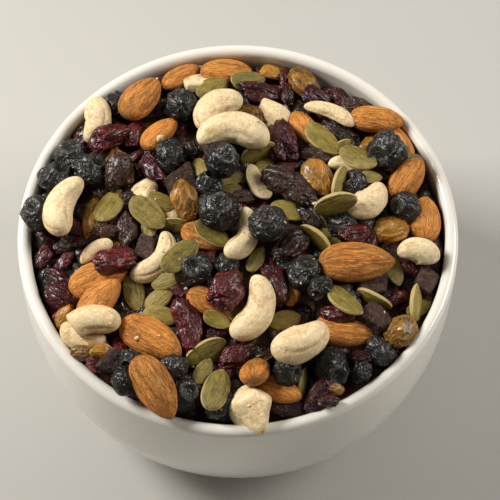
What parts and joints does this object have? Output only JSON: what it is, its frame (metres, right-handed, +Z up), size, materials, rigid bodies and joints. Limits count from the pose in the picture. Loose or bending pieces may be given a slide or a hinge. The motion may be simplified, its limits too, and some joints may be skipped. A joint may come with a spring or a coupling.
{
  "type": "bowl of trail mix",
  "caption": "Round white ceramic bowl heaped with mixed nuts, pumpkin seeds, dried berries, raisins and chocolate pieces.",
  "frame": {"origin": "middle of the foot, on the surface that the bowl stands on", "axes": "+Z up, the picture's viewer stands on the -Y side, +X to the viewer's right"},
  "size_m": [0.1404, 0.1404, 0.0857],
  "materials": {
    "white_glaze": "glossy warm white glaze",
    "packed_fruit": "dark dried fruit under the pieces that show",
    "almond_skin": "orange-brown ridged almond skin",
    "cashew": "cream cashew kernel",
    "dark_berry": "near-black wrinkled dried berry with a dull bloom",
    "cranberry": "dark crimson folded fruit, slightly glossy",
    "raisin": "dark brown wrinkled raisin",
    "golden_raisin": "amber wrinkled raisin",
    "pumpkin_seed": "olive green seed with a tan edge",
    "chocolate": "matt dark chocolate"
  },
  "bodies": {
    "root": {"bowl": "white_glaze", "trail_mix": "packed_fruit"}
  },
  "joints": []
}
